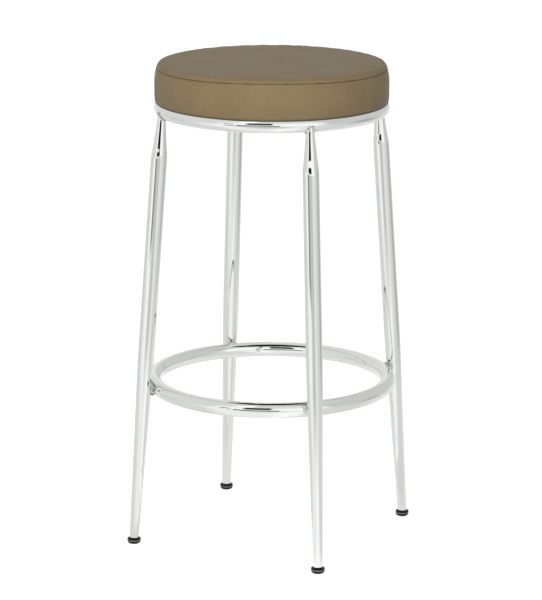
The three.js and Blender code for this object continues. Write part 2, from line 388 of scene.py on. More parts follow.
def make_piece(name: str, surface: Surface, finish: "Finish", slot: str, *replaces: str) -> bpy.types.Object:
    """Makes a smooth mesh object that rides on the stool, its poles closed and its faces outwards.

    Args:
        name: The piece's name.
        surface: Its points and faces.
        finish: What it is made of.
        slot: The record's material slot; not used.
        *replaces: The CAD nodes that it stands for.

    Returns:
        The object.
    """
    piece = make_object(name, surface)
    work = bmesh.new()
    work.from_mesh(piece.data)
    bmesh.ops.remove_doubles(work, verts=work.verts, dist=MERGE_GAP * MM)
    bmesh.ops.recalc_face_normals(work, faces=work.faces)
    work.to_mesh(piece.data)
    work.free()
    piece.data.shade_smooth()
    piece.data.materials.append(finish.material())
    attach(piece, "root")
    if replaces:
        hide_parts(*replaces)
    log.info("%s: %d faces of %s", name, len(piece.data.polygons), finish.name)
    return piece


# Finishes


def add_node(
    tree: Tree,
    kind: str,
    inputs: dict[str | int, Any] | None = None,
    stops: tuple[tuple[float, Any], ...] = (),
    **settings: Any,
) -> bpy.types.Node:
    """Adds a node with its settings, values and links.

    Args:
        tree: The node tree.
        kind: The node's type, without its leading ShaderNode.
        inputs: By the input's name or number, a value, a socket to link from, or a node whose
            first output is linked.
        stops: A ramp's places with their greys or colours.
        **settings: The node's own properties.

    Returns:
        The node.
    """
    node = tree.nodes.new("ShaderNode" + kind)
    for key, value in settings.items():
        setattr(node, key, value)
    for key, value in (inputs or {}).items():
        if isinstance(value, bpy.types.Node):
            value = value.outputs[0]
        if isinstance(value, Socket):
            tree.links.new(value, node.inputs[key])
        else:
            node.inputs[key].default_value = value
    for number, (place, value) in enumerate(stops):
        if number > 1:
            node.color_ramp.elements.new(place)
        stop = node.color_ramp.elements[number]
        stop.position = place
        stop.color = value if isinstance(value, tuple) else grey(value)
    return node


def emptied(owner: bpy.types.Material | bpy.types.World) -> Tree:
    """Gives a material or world an empty node tree."""
    owner.use_nodes = True
    owner.node_tree.nodes.clear()
    return owner.node_tree


@dataclass(frozen=True)
class Finish:
    """What a piece is made of: soft patches over a fine grain.

    Sizes are millimetres. A colour or a roughness that is given once is the same all over. One that
    is given twice changes from the first to the second as the patches' value rises.
    """

    name: str
    colours: tuple[str, ...]
    roughness: tuple[float, ...]
    patch: float
    patch_detail: float = 2.0  # how finely the patches break up
    change: Pair = (0.35, 0.65)  # the patches' values between which they change
    grain: float = 1.0
    grain_detail: float = 2.0
    grain_depth: float = 0.0
    metallic: float = 0.0

    def material(self) -> bpy.types.Material:
        """The finish as a material, made once and shared."""
        made = bpy.data.materials.get(self.name)
        if made:
            return made
        made = bpy.data.materials.new(self.name)
        tree = emptied(made)
        place = add_node(tree, "TexCoord").outputs["Object"]
        shader = add_node(tree, "BsdfPrincipled", self.look(tree, place))
        add_node(tree, "OutputMaterial", {"Surface": shader})
        return made

    def look(self, tree: Tree, place: Socket) -> dict[str, Any]:
        """Adds the pattern nodes.

        Args:
            tree: The material's node tree.
            place: The point on the piece, in metres.

        Returns:
            What goes into the shader's inputs.
        """
        size = {"Scale": 1 / (self.patch * MM), "Detail": self.patch_detail}
        patches = add_node(tree, "TexNoise", {"Vector": place} | size)
        colour, roughness = linear(self.colours[0]), self.roughness[0]
        if len(self.colours) > 1:
            stops = tuple(zip(self.change, map(linear, self.colours)))
            colour = add_node(tree, "ValToRGB", {0: patches}, stops=stops)
        if len(self.roughness) > 1:
            ends = zip(("From Min", "From Max", "To Min", "To Max"), self.change + self.roughness)
            roughness = add_node(tree, "MapRange", {"Value": patches} | dict(ends))
        shown = {"Base Color": colour, "Metallic": self.metallic, "Roughness": roughness}
        if self.grain_depth:
            size = {"Scale": 1 / (self.grain * MM), "Detail": self.grain_detail}
            grain = add_node(tree, "TexNoise", {"Vector": place} | size)
            shown["Normal"] = add_node(tree, "Bump", {"Height": grain, "Distance": self.grain_depth * MM})
        return shown


@dataclass(frozen=True)
class ChromePlate(Finish):
    """Bright nickel-chrome plate on drawn and polished steel tube.

    It mirrors the room almost white, and the long ripple that polishing leaves makes the
    reflections waver.
    """

    name: str = "bright chrome plate"
    colours: tuple[str, ...] = ("#ECEEEC",)
    roughness: tuple[float, ...] = (0.01, 0.045)  # where it is polished well and less well
    patch: float = 40.0
    grain: float = 30.0
    grain_detail: float = 1.0
    grain_depth: float = 0.04
    metallic: float = 1.0


@dataclass(frozen=True)
class PlatedWeld(Finish):
    """A weld bead left as it ran and plated over: chrome on small overlapping ripples.

    The lumps break its reflection into bright and dark specks. Its colour is painted near black in the pits:
    painted shade, where the plate is duller too.
    """

    name: str = "chrome plated weld"
    # the dark colour is painted shade: the patches follow the ripples, so it falls in their pits
    colours: tuple[str, ...] = ("#2E2D2A", "#EDEEED")
    roughness: tuple[float, ...] = (0.1,)
    patch: float = 1.8
    change: Pair = (0.4, 0.5)
    grain: float = 1.8
    grain_depth: float = 0.3
    metallic: float = 1.0


@dataclass(frozen=True)
class SeatVinyl(Finish):
    """Taupe upholstery vinyl, calendered with a fine leather grain.

    It has a low, waxy sheen that greys it where it is seen at a slant, pebbles about a millimetre
    across and faint soft creases.
    """

    name: str = "taupe upholstery vinyl"
    colours: tuple[str, ...] = ("#8E7B5A", "#988562")
    roughness: tuple[float, ...] = (0.5, 0.6)
    patch: float = 45.0  # faint clouds of darker and lighter print
    patch_detail: float = 3.0
    ior: float = 1.45
    valley: str = "#7F6D4D"
    pebble: float = 1.1
    pebble_edge: float = 0.22  # of a pebble's size, over which it falls into the valley
    pebble_depth: float = 0.06
    crease: float = 9.0
    crease_detail: float = 4.0
    crease_roughness: float = 0.6
    crease_depth: float = 0.16
    # painted shade: a dark brown line in the crease where the lip meets the seat ring, fading up the band
    painted_shade: str = "#4C4430"
    painted_shade_at: Stops = (  # its share by height, as painted shade: most in the crease over the ring, faint up the lower band
        (697.0, 0.85), (698.6, 0.45), (700.2, 0.14), (713.0, 0.09), (724.0, 0.0),
    )

    def look(self, tree: Tree, place: Socket) -> dict[str, Any]:
        """Adds the pebbles, the fine creases and painted shade over the ring to the cloudy print."""
        shown = super().look(tree, place)
        cells = {"Vector": place, "Scale": 1 / (self.pebble * MM)}
        pebbles = add_node(tree, "TexVoronoi", cells, feature="DISTANCE_TO_EDGE")
        fall = {"Value": pebbles, "From Max": self.pebble_edge}
        domes = add_node(tree, "MapRange", fall, interpolation_type="SMOOTHSTEP")
        size = {"Scale": 1 / (self.crease * MM), "Detail": self.crease_detail}
        folds = {"Vector": place, "Roughness": self.crease_roughness} | size
        creases = {"Height": add_node(tree, "TexNoise", folds), "Distance": self.crease_depth * MM}
        soft = add_node(tree, "Bump", creases)
        grain = {"Height": domes, "Distance": self.pebble_depth * MM, "Normal": soft}
        leather = {0: domes, MIX_FROM: linear(self.valley), MIX_TO: shown["Base Color"]}
        skin = add_node(tree, "Mix", leather, data_type="RGBA").outputs[MIX_RESULT]
        # painted shade: darker towards the lip, most in the crease where the cover meets the ring
        height = add_node(tree, "SeparateXYZ", {0: place}).outputs["Z"]
        low, high = self.painted_shade_at[0][0], self.painted_shade_at[-1][0]
        rise = add_node(tree, "MapRange", {"Value": height, "From Min": low * MM, "From Max": high * MM})
        stops = tuple(((at - low) / (high - low), share) for at, share in self.painted_shade_at)
        shade_share = add_node(tree, "ValToRGB", {0: rise}, stops=stops)
        painted_light_inputs = {0: shade_share, MIX_FROM: skin, MIX_TO: linear(self.painted_shade)}
        return shown | {
            "Base Color": add_node(tree, "Mix", painted_light_inputs, data_type="RGBA").outputs[MIX_RESULT],
            "IOR": self.ior,
            "Normal": add_node(tree, "Bump", grain),
        }


@dataclass(frozen=True)
class SewingThread(Finish):
    """Bonded polyester sewing thread, olive brown: a fine twist with a dull sheen.

    Its strands, which catch the light in turn, are drawn about twice as coarse as they are, to show.
    Their colour is painted lighter on their crowns and darker between them: painted highlight and shade.
    """

    name: str = "twisted polyester thread"
    # the lighter colour is painted highlight on the strands' crowns and the darker painted shade between
    # them, as the patches follow the grain
    colours: tuple[str, ...] = ("#524430", "#66553D")
    roughness: tuple[float, ...] = (0.6,)
    patch: float = 1.0
    change: Pair = (0.4, 0.6)
    grain: float = 1.0
    grain_depth: float = 0.1


@dataclass(frozen=True)
class SeatFoam(Finish):
    """Cream polyurethane foam, cut from a block and a little yellowed: matt, with open cells."""

    name: str = "cream polyurethane foam"
    colours: tuple[str, ...] = ("#E3D5A0", "#EFE6BC")
    roughness: tuple[float, ...] = (1.0,)
    patch: float = 30.0
    grain: float = 0.8
    grain_depth: float = 0.4


@dataclass(frozen=True)
class Plywood(Finish):
    """Raw rotary-cut birch plywood: pale, with long grain one way and thin darker plies on the edge."""

    name: str = "raw birch plywood"
    colours: tuple[str, ...] = ("#B99566", "#D6B98A")
    roughness: tuple[float, ...] = (0.8,)
    patch: float = 3.0
    patch_detail: float = 4.0
    grain: float = 3.0
    grain_detail: float = 4.0
    grain_depth: float = 0.08
    stretch: float = 0.08  # how much slower the grain changes along its length
    glue: str = "#9C7749"
    glue_share: float = 0.35
    ply: float = 1.4
    ply_edge: float = 0.2  # of the wave's height, either way, over which one ply turns into the next

    def look(self, tree: Tree, place: Socket) -> dict[str, Any]:
        """Stretches the grain, and crosses it with plies by height."""
        long_grain = {"Vector": place, "Scale": (self.stretch, 1.0, 1.0)}
        shown = super().look(tree, add_node(tree, "Mapping", long_grain).outputs[0])
        height = add_node(tree, "SeparateXYZ", {0: place}).outputs["Z"]
        layer = add_node(tree, "Math", {0: height, 1: TURN / 2 / (self.ply * MM)}, operation="MULTIPLY")
        wave = add_node(tree, "Math", {0: layer}, operation="SINE")
        line = {"Value": wave, "From Min": -self.ply_edge, "From Max": self.ply_edge}
        line["To Max"] = self.glue_share
        lines = add_node(tree, "MapRange", line)
        glued = {0: lines, MIX_FROM: shown["Base Color"], MIX_TO: linear(self.glue)}
        return shown | {"Base Color": add_node(tree, "Mix", glued, data_type="RGBA").outputs[MIX_RESULT]}


@dataclass(frozen=True)
class DustCloth(Finish):
    """Black spun-bonded polypropylene cloth: matt and thin, with a diamond of bonding points.

    The points are really 1 mm apart, and are drawn wider apart so that they show.
    """

    name: str = "black non-woven cloth"
    colours: tuple[str, ...] = ("#131314", "#29292C")
    roughness: tuple[float, ...] = (0.9,)
    patch: float = 2.5
    patch_detail: float = 5.0
    bond: float = 1.8
    bond_depth: float = 0.12

    def look(self, tree: Tree, place: Socket) -> dict[str, Any]:
        """Adds the bonding points to the loose fibres."""
        diagonal = add_node(tree, "Mapping", {"Vector": place, "Rotation": (0.0, 0.0, TURN / 8)})
        dots = {"Vector": diagonal, "Scale": 1 / (self.bond * MM), "Randomness": 0.0}
        points = {"Height": add_node(tree, "TexVoronoi", dots), "Distance": self.bond_depth * MM}
        return super().look(tree, place) | {"Normal": add_node(tree, "Bump", points)}


@dataclass(frozen=True)
class ZincPlate(Finish):
    """Bright zinc plate on stamped and headed steel: a soft, patchy silver with faint tumbling marks."""

    name: str = "bright zinc plate"
    colours: tuple[str, ...] = ("#B4B7BC", "#CFCFCB")
    roughness: tuple[float, ...] = (0.25, 0.42)
    patch: float = 4.0
    patch_detail: float = 3.0
    grain: float = 0.5
    grain_depth: float = 0.02
    metallic: float = 1.0


@dataclass(frozen=True)
class BlackNylon(Finish):
    """Injection-moulded black nylon, deep black and satin, with a painted highlight: a light grey ring low on
    its side.

    Its fine grain is that of the spark-eroded mould.
    """

    name: str = "moulded black nylon"
    colours: tuple[str, ...] = ("#070707",)
    roughness: tuple[float, ...] = (0.25, 0.4)
    patch: float = 2.0
    patch_detail: float = 3.0
    grain: float = 0.5
    grain_depth: float = 0.03
    ior: float = 1.26
    # painted highlight: a light grey ring round the side, at this height and within this distance of it
    painted_highlight: str = "#C4C4C0"
    painted_highlight_height: float = 5.8
    painted_highlight_width: float = 1.4

    def look(self, tree: Tree, place: Socket) -> dict[str, Any]:
        """Adds the painted highlight, a light grey ring, broken up by the patches."""
        shown = super().look(tree, place)
        # painted highlight: light grey in a band round the side, broken up by the patches
        height = add_node(tree, "SeparateXYZ", {0: place}).outputs["Z"]
        over = add_node(tree, "Math", {0: height, 1: self.painted_highlight_height * MM}, operation="SUBTRACT")
        away = add_node(tree, "Math", {0: over}, operation="ABSOLUTE")
        painted_light_inputs = {"Value": away, "From Max": self.painted_highlight_width * MM, "To Min": 1.0, "To Max": 0.0}
        size = {"Scale": 1 / (self.patch * MM), "Detail": self.patch_detail}
        blotches = add_node(tree, "TexNoise", {"Vector": place} | size)
        broken = {0: add_node(tree, "MapRange", painted_light_inputs), 1: blotches}
        painted_highlights = add_node(tree, "Math", broken, operation="MULTIPLY")
        mix = {0: painted_highlights, MIX_FROM: linear(self.colours[0]), MIX_TO: linear(self.painted_highlight)}
        skin = add_node(tree, "Mix", mix, data_type="RGBA").outputs[MIX_RESULT]
        return shown | {"Base Color": skin, "IOR": self.ior}


@dataclass(frozen=True)
class StapleWire(Finish):
    """Galvanised staple wire: flattened, dull grey zinc with a little mottling."""

    name: str = "galvanised wire"
    colours: tuple[str, ...] = ("#A2A4A6", "#C3C4C2")
    roughness: tuple[float, ...] = (0.38,)
    patch: float = 1.5
    metallic: float = 1.0


# The seat


@dataclass
class Cushion:
    """The padded seat: a crowned panel sewn to a side band, over a foam pad.

    The sizes that the frame doesn't give are those of the CAD seat's own side view, apart from the
    crown and the roll over the top edge, which were measured again.
    """

    ring: "TubeRing"
    crown_rise: float = 3.0  # the middle of the crown over the start of the roll
    roll_width: float = 18.0  # from there to the widest part of the side
    seam_inset: float = 3.0  # the seam inside that widest part
    bulge_drop: float = 30.4  # that widest part under the middle of the crown
    tuck_rise: float = 16.8  # from the lip up to where the side starts to turn under
    rest: float = 0.35  # between the cover and the ring that it sits on
    hem_width: float = 16.0  # inside the ring's centre line
    cover_thickness: float = 1.2
    clearance: float = 0.5
    foam_sides: int = 240
    fold: float = 1.4  # radius of each part's turn into the seam
    fold_start: float = 1.2  # from the seam to where that turn starts, as a share of its radius
    allowance: float = 3.5  # length of the turned-in edge behind the fold
    gap: float = 0.15  # half the space between the two turned-in edges
    slit_depth: float = 1.0  # how far the foam's slit runs on behind those edges
    stitches: int = 226  # 5 mm long
    pucker: float = 0.35  # how far a stitch pulls the seam in
    pucker_reach: float = 2.5
    thread_radius: float = 0.45
    thread_rise: float = 0.35  # how far it stands out between two stitches
    thread_depth: float = 0.75  # how far it lies in the fold, as a share of its radius
    thread_sides: int = 8
    gather: float = 0.2  # how far the sewn edge wanders in and out
    gather_waves: tuple[int, int] = (14, 50)
    gather_reach: float = 9.0  # from the seam, where the slack takes over
    slack_waves: tuple[int, int] = (3, 14)
    slack_share: float = 0.5
    most_movement: float = 6.0  # cap on how far the cloth may swell
    most_unevenness: float = 0.4  # what the cover's unevenness is eased to stay under
    columns: int = 904  # four to a stitch
    cloth_columns: int = 180
    cloth_rows: tuple[int, int] = (26, 22)  # from the middle to the seam, and from there to the hem
    cloth_start: float = 0.06  # from the middle, as a share of the way to the seam
    cloth_frames: int = 20
    pull_start: float = 2.0  # over the lip, from where the staples hold the cover fast
    sag: float = 2.6  # how much lower the seam runs at two opposite sides of the seat
    sag_turn: float = 296.0  # degrees from +X to where the seam is highest
    sag_reach: Pair = (5.6, 42.0)  # how far over and under the seam the cover goes with it
    sag_start: Pair = (140.0, 168.0)  # from the middle, none of it to all of it
    seed: int = 7
    finish: Finish = field(default_factory=SeatVinyl)

    def __post_init__(self) -> None:
        """Reads the seat's boxes."""
        top, band = Box.of("cover_top"), Box.of("cover_band")
        self.board = Box.of("seat_board")
        self.radius = band.radius
        self.top = top.top
        self.bottom = band.bottom
        self.seam_height = band.top
        self.seam_radius = self.radius - self.seam_inset

    def panel_outline(self, inset: float = 0.0) -> np.ndarray:
        """The side view of the top panel, from the middle of the crown out and down to the seam.

        Args:
            inset: How far inside the cover's outer face.

        Returns:
            Rows of radius and height.
        """
        top = self.top - inset
        roll = (self.radius - self.roll_width, top - self.crown_rise)
        slope = 2 * self.crown_rise / roll[0]
        seam = (self.seam_radius - inset, self.seam_height)
        corner = (seam[0], roll[1] - slope * (seam[0] - roll[0]))
        crown = bend((0.0, top), (roll[0] / 2, top), roll, count=36)
        return np.concatenate([crown, bend(roll, corner, seam, count=24)[1:]])

    def band_outline(self, inset: float = 0.0) -> np.ndarray:
        """The side view of the side band: seam, bulge, lip, up over the ring's shoulder, and the flat hem.

        Args:
            inset: How far inside the cover's outer face.

        Returns:
            Rows of radius and height.
        """
        side = self.radius - inset
        foot = self.bottom + inset
        seam = (self.seam_radius - inset, self.seam_height)
        bulge = (side, self.top - self.bulge_drop)
        reach = self.ring.tube_radius + self.rest + inset
        turn = np.linspace(math.asin((foot - self.ring.height) / reach), TURN / 4, num=12)
        middle = [self.ring.radius, self.ring.height]
        shoulder = middle + reach * np.stack([np.cos(turn), np.sin(turn)], axis=1)
        swell = bend(seam, (side, (seam[1] + bulge[1]) / 2), bulge, count=22)
        tuck = bend((side, self.bottom + self.tuck_rise), (side, foot), tuple(shoulder[0]), count=24)
        hem = shoulder[-1:] - [[self.hem_width, 0.0]]
        return np.concatenate([swell, tuck, shoulder[1:], hem])

    def turned_edge(self, side: int) -> np.ndarray:
        """The edge of a part where it turns into the seam: a quarter round, then straight in.

        Args:
            side: 1 for the panel over the seam, -1 for the band under it.

        Returns:
            Rows of radius and height, from the outer face inwards.
        """
        level = self.seam_height + side * self.gap
        start = (self.seam_radius, level + side * self.fold)
        end = (self.seam_radius - self.fold, level)
        arc = bend(start, (self.seam_radius, level), end, count=8)
        return np.concatenate([arc, [[end[0] - self.allowance, level]]])

    @staticmethod
    def outward(outline: np.ndarray) -> np.ndarray:
        """The unit normals of an outline that runs out and down: its tangent turned a quarter left."""
        tangent = np.gradient(outline, lengths_along(outline), axis=0)
        tangent /= np.linalg.norm(tangent, axis=1, keepdims=True)
        return np.stack([-tangent[:, 1], tangent[:, 0]], axis=1)

    @staticmethod
    def drawn_finer(rows: np.ndarray, count: int) -> np.ndarray:
        """Draws closed rows of samples again at a finer count, by their Fourier series.

        Args:
            rows: Rows of samples round the turn.
            count: The finer count.

        Returns:
            The rows at that count.
        """
        series = np.fft.rfft(rows, axis=1)
        padded = np.zeros((len(rows), count // 2 + 1), complex)
        padded[:, : series.shape[1]] = series
        return np.fft.irfft(padded, count, axis=1) * count / rows.shape[1]

    def settle(self) -> None:
        """Swells the cover as cloth, sewn fast at the seam and at the hem, and keeps how uneven it gets.

        The cloth starts out gathered near the seam, by g exp(-s / w) for the distance s to it, and
        slack elsewhere, by noise that builds up row by row.
        """
        panel = self.panel_outline()
        band = self.band_outline()
        outline = np.concatenate([panel, band[1:]])
        self.seam_at = float(lengths_along(panel)[-1])
        lip_at = self.seam_at + float(lengths_along(band)[band[:, 1].argmin()])
        end = float(lengths_along(outline)[-1])
        over = np.linspace(self.cloth_start, 1, self.cloth_rows[0]) * self.seam_at
        under = np.linspace(self.seam_at, end, self.cloth_rows[1])
        rows = np.concatenate([over, under[1:]])
        shape = resampled(outline, rows)
        normals = self.outward(shape)
        rng = np.random.default_rng(self.seed)
        gathers = smooth_noise(rng, self.cloth_columns, self.gather_waves) * self.gather
        slack = [smooth_noise(rng, self.cloth_columns, self.slack_waves) for _ in rows]
        slack = np.cumsum(np.stack(slack) * self.gather, axis=0)
        slack /= np.sqrt(np.arange(1, len(rows) + 1))[:, None]
        reach = np.exp(-np.abs(rows - self.seam_at) / self.gather_reach)[:, None]
        uneven = reach * gathers + self.slack_share * (1 - reach) * slack
        held = int(np.searchsorted(rows, lip_at - self.pull_start))
        uneven[held:] = 0
        t = angles(self.cloth_columns)
        radial = np.stack([np.cos(t), np.sin(t), np.zeros_like(t)], axis=-1)
        flat = shape[:, :1, None] * radial + shape[:, 1:, None] * UP
        out = normals[:, :1, None] * radial + normals[:, 1:, None] * UP
        swollen = self.swell(Surface.grid(flat + uneven[..., None] * out), len(over) - 1, held)
        uneven = ((swollen.reshape(flat.shape) - flat) * out).sum(axis=-1)
        uneven = np.clip(uneven, -self.most_movement, self.most_movement)
        uneven -= uneven.mean(axis=1, keepdims=True)
        log.info("cover settled: unevenness up to %.2f mm", np.abs(uneven).max())
        self.rows = rows
        self.uneven = self.most_unevenness * np.tanh(uneven / self.most_unevenness)

    def swell(self, cloth: Surface, seam_row: int, hem_row: int) -> np.ndarray:
        """Runs the cloth under pressure.

        Args:
            cloth: The cover as a coarse grid.
            seam_row: The row on the seam, which is held.
            hem_row: The first row of the stapled hem, which is held too.

        Returns:
            The points after the run, in millimetres.
        """
        pad = make_object("cloth", cloth)
        mesh = pad.data
        wide = self.cloth_columns
        seam = range(seam_row * wide, (seam_row + 1) * wide)
        held = [*range(wide), *seam, *range(hem_row * wide, len(cloth.points))]
        pad.vertex_groups.new(name="sewn").add(held, 1.0, "REPLACE")
        vinyl = pad.modifiers.new("cloth", "CLOTH").settings
        vinyl.vertex_group_mass = "sewn"
        vinyl.use_pressure = True
        vinyl.uniform_pressure_force = 4.0
        vinyl.effector_weights.gravity = 0.0
        vinyl.quality = 6
        vinyl.tension_stiffness = vinyl.compression_stiffness = 40.0
        vinyl.shear_stiffness = 20.0
        vinyl.bending_stiffness = 5.0
        for frame in range(1, self.cloth_frames + 1):
            bpy.context.scene.frame_set(frame)
        swollen = pad.evaluated_get(bpy.context.evaluated_depsgraph_get())
        places = np.empty(len(mesh.vertices) * 3)
        swollen.data.vertices.foreach_get("co", places)
        bpy.context.scene.frame_set(1)
        bpy.data.objects.remove(pad)
        bpy.data.meshes.remove(mesh)
        return places.reshape(-1, 3) / MM

    def moved_out(self, at: np.ndarray) -> np.ndarray:
        """How far the cover stands out from its smooth shape, for each column round the seat.

        It is the cloth's unevenness, less p (1 + cos n t) / 2 exp(-s / w) for the stitches' pull,
        where n is the number of stitches, s the distance to the seam and w the pull's reach.

        Args:
            at: Distances along the cover from its middle.

        Returns:
            One row for each distance.
        """
        low = np.clip(np.searchsorted(self.rows, at) - 1, 0, len(self.rows) - 2)
        share = np.clip((at - self.rows[low]) / (self.rows[low + 1] - self.rows[low]), 0, 1)[:, None]
        rough = self.drawn_finer(self.uneven[low] * (1 - share) + self.uneven[low + 1] * share, self.columns)
        fade = np.clip(at / self.seam_at, 0, 1)[:, None] ** 2
        pull = self.pucker * np.exp(-np.abs(at - self.seam_at) / self.pucker_reach)[:, None]
        return fade * rough - pull * (0.5 + 0.5 * np.cos(self.stitches * angles(self.columns)))

    def turned(self, outline: np.ndarray, at: np.ndarray, moved: float = 0.0) -> np.ndarray:
        """Turns an outline about the stool's axis, with the cover's unevenness.

        Args:
            outline: Rows of radius and height.
            at: The distance of each row along the cover.
            moved: How far out from the cover's outer face.

        Returns:
            An array of rows x columns x 3.
        """
        normals = self.outward(outline)
        offset = self.moved_out(at) + moved
        t = angles(self.columns)
        r = outline[:, :1] + normals[:, :1] * offset
        z = outline[:, 1:] + normals[:, 1:] * offset
        return np.stack([r * np.cos(t), r * np.sin(t), z], axis=-1)

    def sagged(self, surface: Surface) -> Surface:
        """Lowers what lies near the seam, as the seam of a hand-pulled cover runs a little uneven.

        A point turned by t goes down by d (1 - cos^6(t - t0)) f(r) g(z), where f rises smoothly from the
        middle out and g falls smoothly to 0 over and under the seam.

        Args:
            surface: A part of the seat.

        Returns:
            The part with its points lowered.
        """
        x, y, z = surface.points.T
        turn = np.arctan2(y, x) - math.radians(self.sag_turn)
        hold = self.fold + self.cover_thickness
        over = (z - self.seam_height - hold) / (self.sag_reach[0] - hold)
        under = (self.seam_height - hold - z) / (self.sag_reach[1] - hold)
        start, full = self.sag_start
        near = eased(1 - np.maximum(over, under))
        out = eased((np.hypot(x, y) - start) / (full - start))
        down = self.sag * (1 - np.cos(turn) ** 6) * near * out
        return Surface(surface.points - np.outer(down, UP), surface.faces)

    def panel(self) -> Surface:
        """The top panel as a closed shell: the outer face, then the inner one back to the middle."""
        smooth = self.panel_outline()
        kept = lengths_along(smooth) < self.seam_at - self.fold * self.fold_start
        outline = np.concatenate([smooth[kept], self.turned_edge(1)])
        at = np.minimum(lengths_along(outline), self.seam_at)
        inner = self.turned(outline, at, -self.cover_thickness)[::-2]
        inner[-1, :, :2] = 0.0
        return Surface.grid(np.concatenate([self.turned(outline, at), inner]))

    def band(self) -> Surface:
        """The side band as a closed shell, from its turned-in top edge down and under to the hem."""
        smooth = self.band_outline()
        along = lengths_along(smooth)
        kept = along > self.fold * self.fold_start
        edge = self.turned_edge(-1)[::-1]
        outline = np.concatenate([edge, smooth[kept]])
        at = self.seam_at + np.concatenate([np.zeros(len(edge)), along[kept]])
        turned_in = edge - self.cover_thickness * self.outward(outline)[: len(edge)]
        lining = np.concatenate([turned_in, self.band_outline(self.cover_thickness)[kept]])
        faces = [self.turned(outline, at), self.turned(lining, at)[::-2]]
        return Surface.grid(np.concatenate(faces), rows_close=True)

    def thread(self) -> Surface:
        """The thread in the seam: a closed bar that stands out by half a turn of cosine per stitch."""
        t = angles(self.columns)
        rough = self.moved_out(np.array([self.seam_at]))[0]
        rise = self.thread_rise * (0.5 - 0.5 * np.cos(self.stitches * t))
        r = self.seam_radius - self.fold * self.thread_depth + rough + rise
        path = np.stack([r * np.cos(t), r * np.sin(t), np.full_like(t, self.seam_height)], axis=1)
        return swept(path, UP, np.full(len(t), self.thread_radius), self.thread_sides, closed=True)

    def foam(self) -> Surface:
        """The pad: the cover's outline moved in, slit for the seam's edges, and cut out for the board."""
        inset = self.cover_thickness + self.clearance
        over, under = self.panel_outline(inset), self.band_outline(inset)
        slit = self.gap + self.cover_thickness + self.clearance
        depth = self.seam_radius - self.fold - self.allowance - self.slit_depth
        over = over[over[:, 1] > self.seam_height + slit]
        skirt = Box.of("foam_pad").bottom
        under = under[(under[:, 1] < self.seam_height - slit) & (under[:, 1] > skirt)]
        notch = np.array([[depth, self.seam_height + slit], [depth, self.seam_height - slit]])
        reach, floor = self.board.radius + self.clearance, self.board.top + self.clearance
        seat = np.array([[under[-1, 0], skirt], [reach, skirt], [reach, floor], [0.0, floor]])
        return revolved(np.concatenate([over, notch, under, seat]), self.foam_sides)

    def build(self) -> None:
        """Makes the cover's two parts, the foam and the seam's thread."""
        self.settle()
        parts = [
            ("seat_cover_top", self.panel(), self.finish, "cover_vinyl", "cover_top"),
            ("seat_cover_band", self.band(), self.finish, "cover_vinyl", "cover_band"),
            ("seat_foam", self.foam(), SeatFoam(), "seat_foam", "foam_pad"),
        ]
        for name, surface, *rest in parts:
            make_piece(name, self.sagged(surface), *rest)
        make_piece("seam_thread", self.sagged(self.thread()), SewingThread(), "cover_vinyl")


# The frame of tube


@dataclass
class TubeRing:
    """A closed ring of round tube with one vent drilled through its wall."""

    node: str
    vent_turn: float  # degrees from +X
    vent_side: float  # degrees round the tube, 0 is outwards and 180 inwards
    vent_radius: float = 2.5
    vent_depth: float = 3.0
    vent_edge: float = 0.5  # the rounding where the tube turns into the vent
    crowding: Pair = (0.96, 0.7)  # of the columns and the rows towards the vent
    columns: int = 400
    rows: int = 56
    finish: Finish = field(default_factory=ChromePlate)

    def __post_init__(self) -> None:
        """Reads the ring's box."""
        box = Box.of(self.node)
        self.tube_radius = (box.top - box.bottom) / 2
        self.radius = box.radius - self.tube_radius
        self.height = float(box.middle[2])

    def surface(self) -> Surface:
        """The torus ((R + r cos a) cos t, (R + r cos a) sin t, h + r sin a), pushed in at the vent.

        Both parameters are drawn closer together near the vent, by x - k sin(x - x0) about it.

        Returns:
            The surface.
        """
        vent_t, vent_a = math.radians(self.vent_turn), math.radians(self.vent_side)
        even_t, even_a = angles(self.columns), angles(self.rows)
        t = (vent_t + even_t - self.crowding[0] * np.sin(even_t))[None, :]
        a = (vent_a + even_a - self.crowding[1] * np.sin(even_a))[:, None]
        around = (np.mod(t - vent_t + TURN / 2, TURN) - TURN / 2) * self.radius
        across = (np.mod(a - vent_a + TURN / 2, TURN) - TURN / 2) * self.tube_radius
        away = np.hypot(around, across)
        reach = self.tube_radius - self.vent_depth * np.clip((self.vent_radius - away) / self.vent_edge, 0, 1)
        r = self.radius + reach * np.cos(a)
        points = np.broadcast_arrays(r * np.cos(t), r * np.sin(t), self.height + reach * np.sin(a))
        return Surface.grid(np.stack(points, axis=-1), rows_close=True)

    def build(self) -> None:
        """Makes the ring."""
        make_piece(f"{self.node}_tube", self.surface(), self.finish, "chrome_tube", self.node)


@dataclass(frozen=True)
class Bead:
    """The size of a weld bead and of the ripples that the welder left in it."""

    radius: float
    ripples: int
    ripple: float  # height of the ripples, as a share of the radius
    wander: float  # how unevenly it ran, as a share of the radius
    wander_waves: tuple[int, int] = (2, 9)
    columns: int = 96
    sides: int = 14

    def along(self, path: np.ndarray, across: np.ndarray, seed: int) -> Surface:
        """A closed bar along a path, whose radius is r (1 + a cos n t + b noise).

        Args:
            path: The bead's middle, one point a row.
            across: A direction, or one for each point, from which the angles round the bar count.
            seed: The seed of the noise.

        Returns:
            The bead.
        """
        noise = smooth_noise(np.random.default_rng(seed), self.columns, self.wander_waves)
        ripples = 1 + self.ripple * np.cos(self.ripples * angles(self.columns)) + self.wander * noise
        return swept(path, across, self.radius * ripples, self.sides, closed=True)


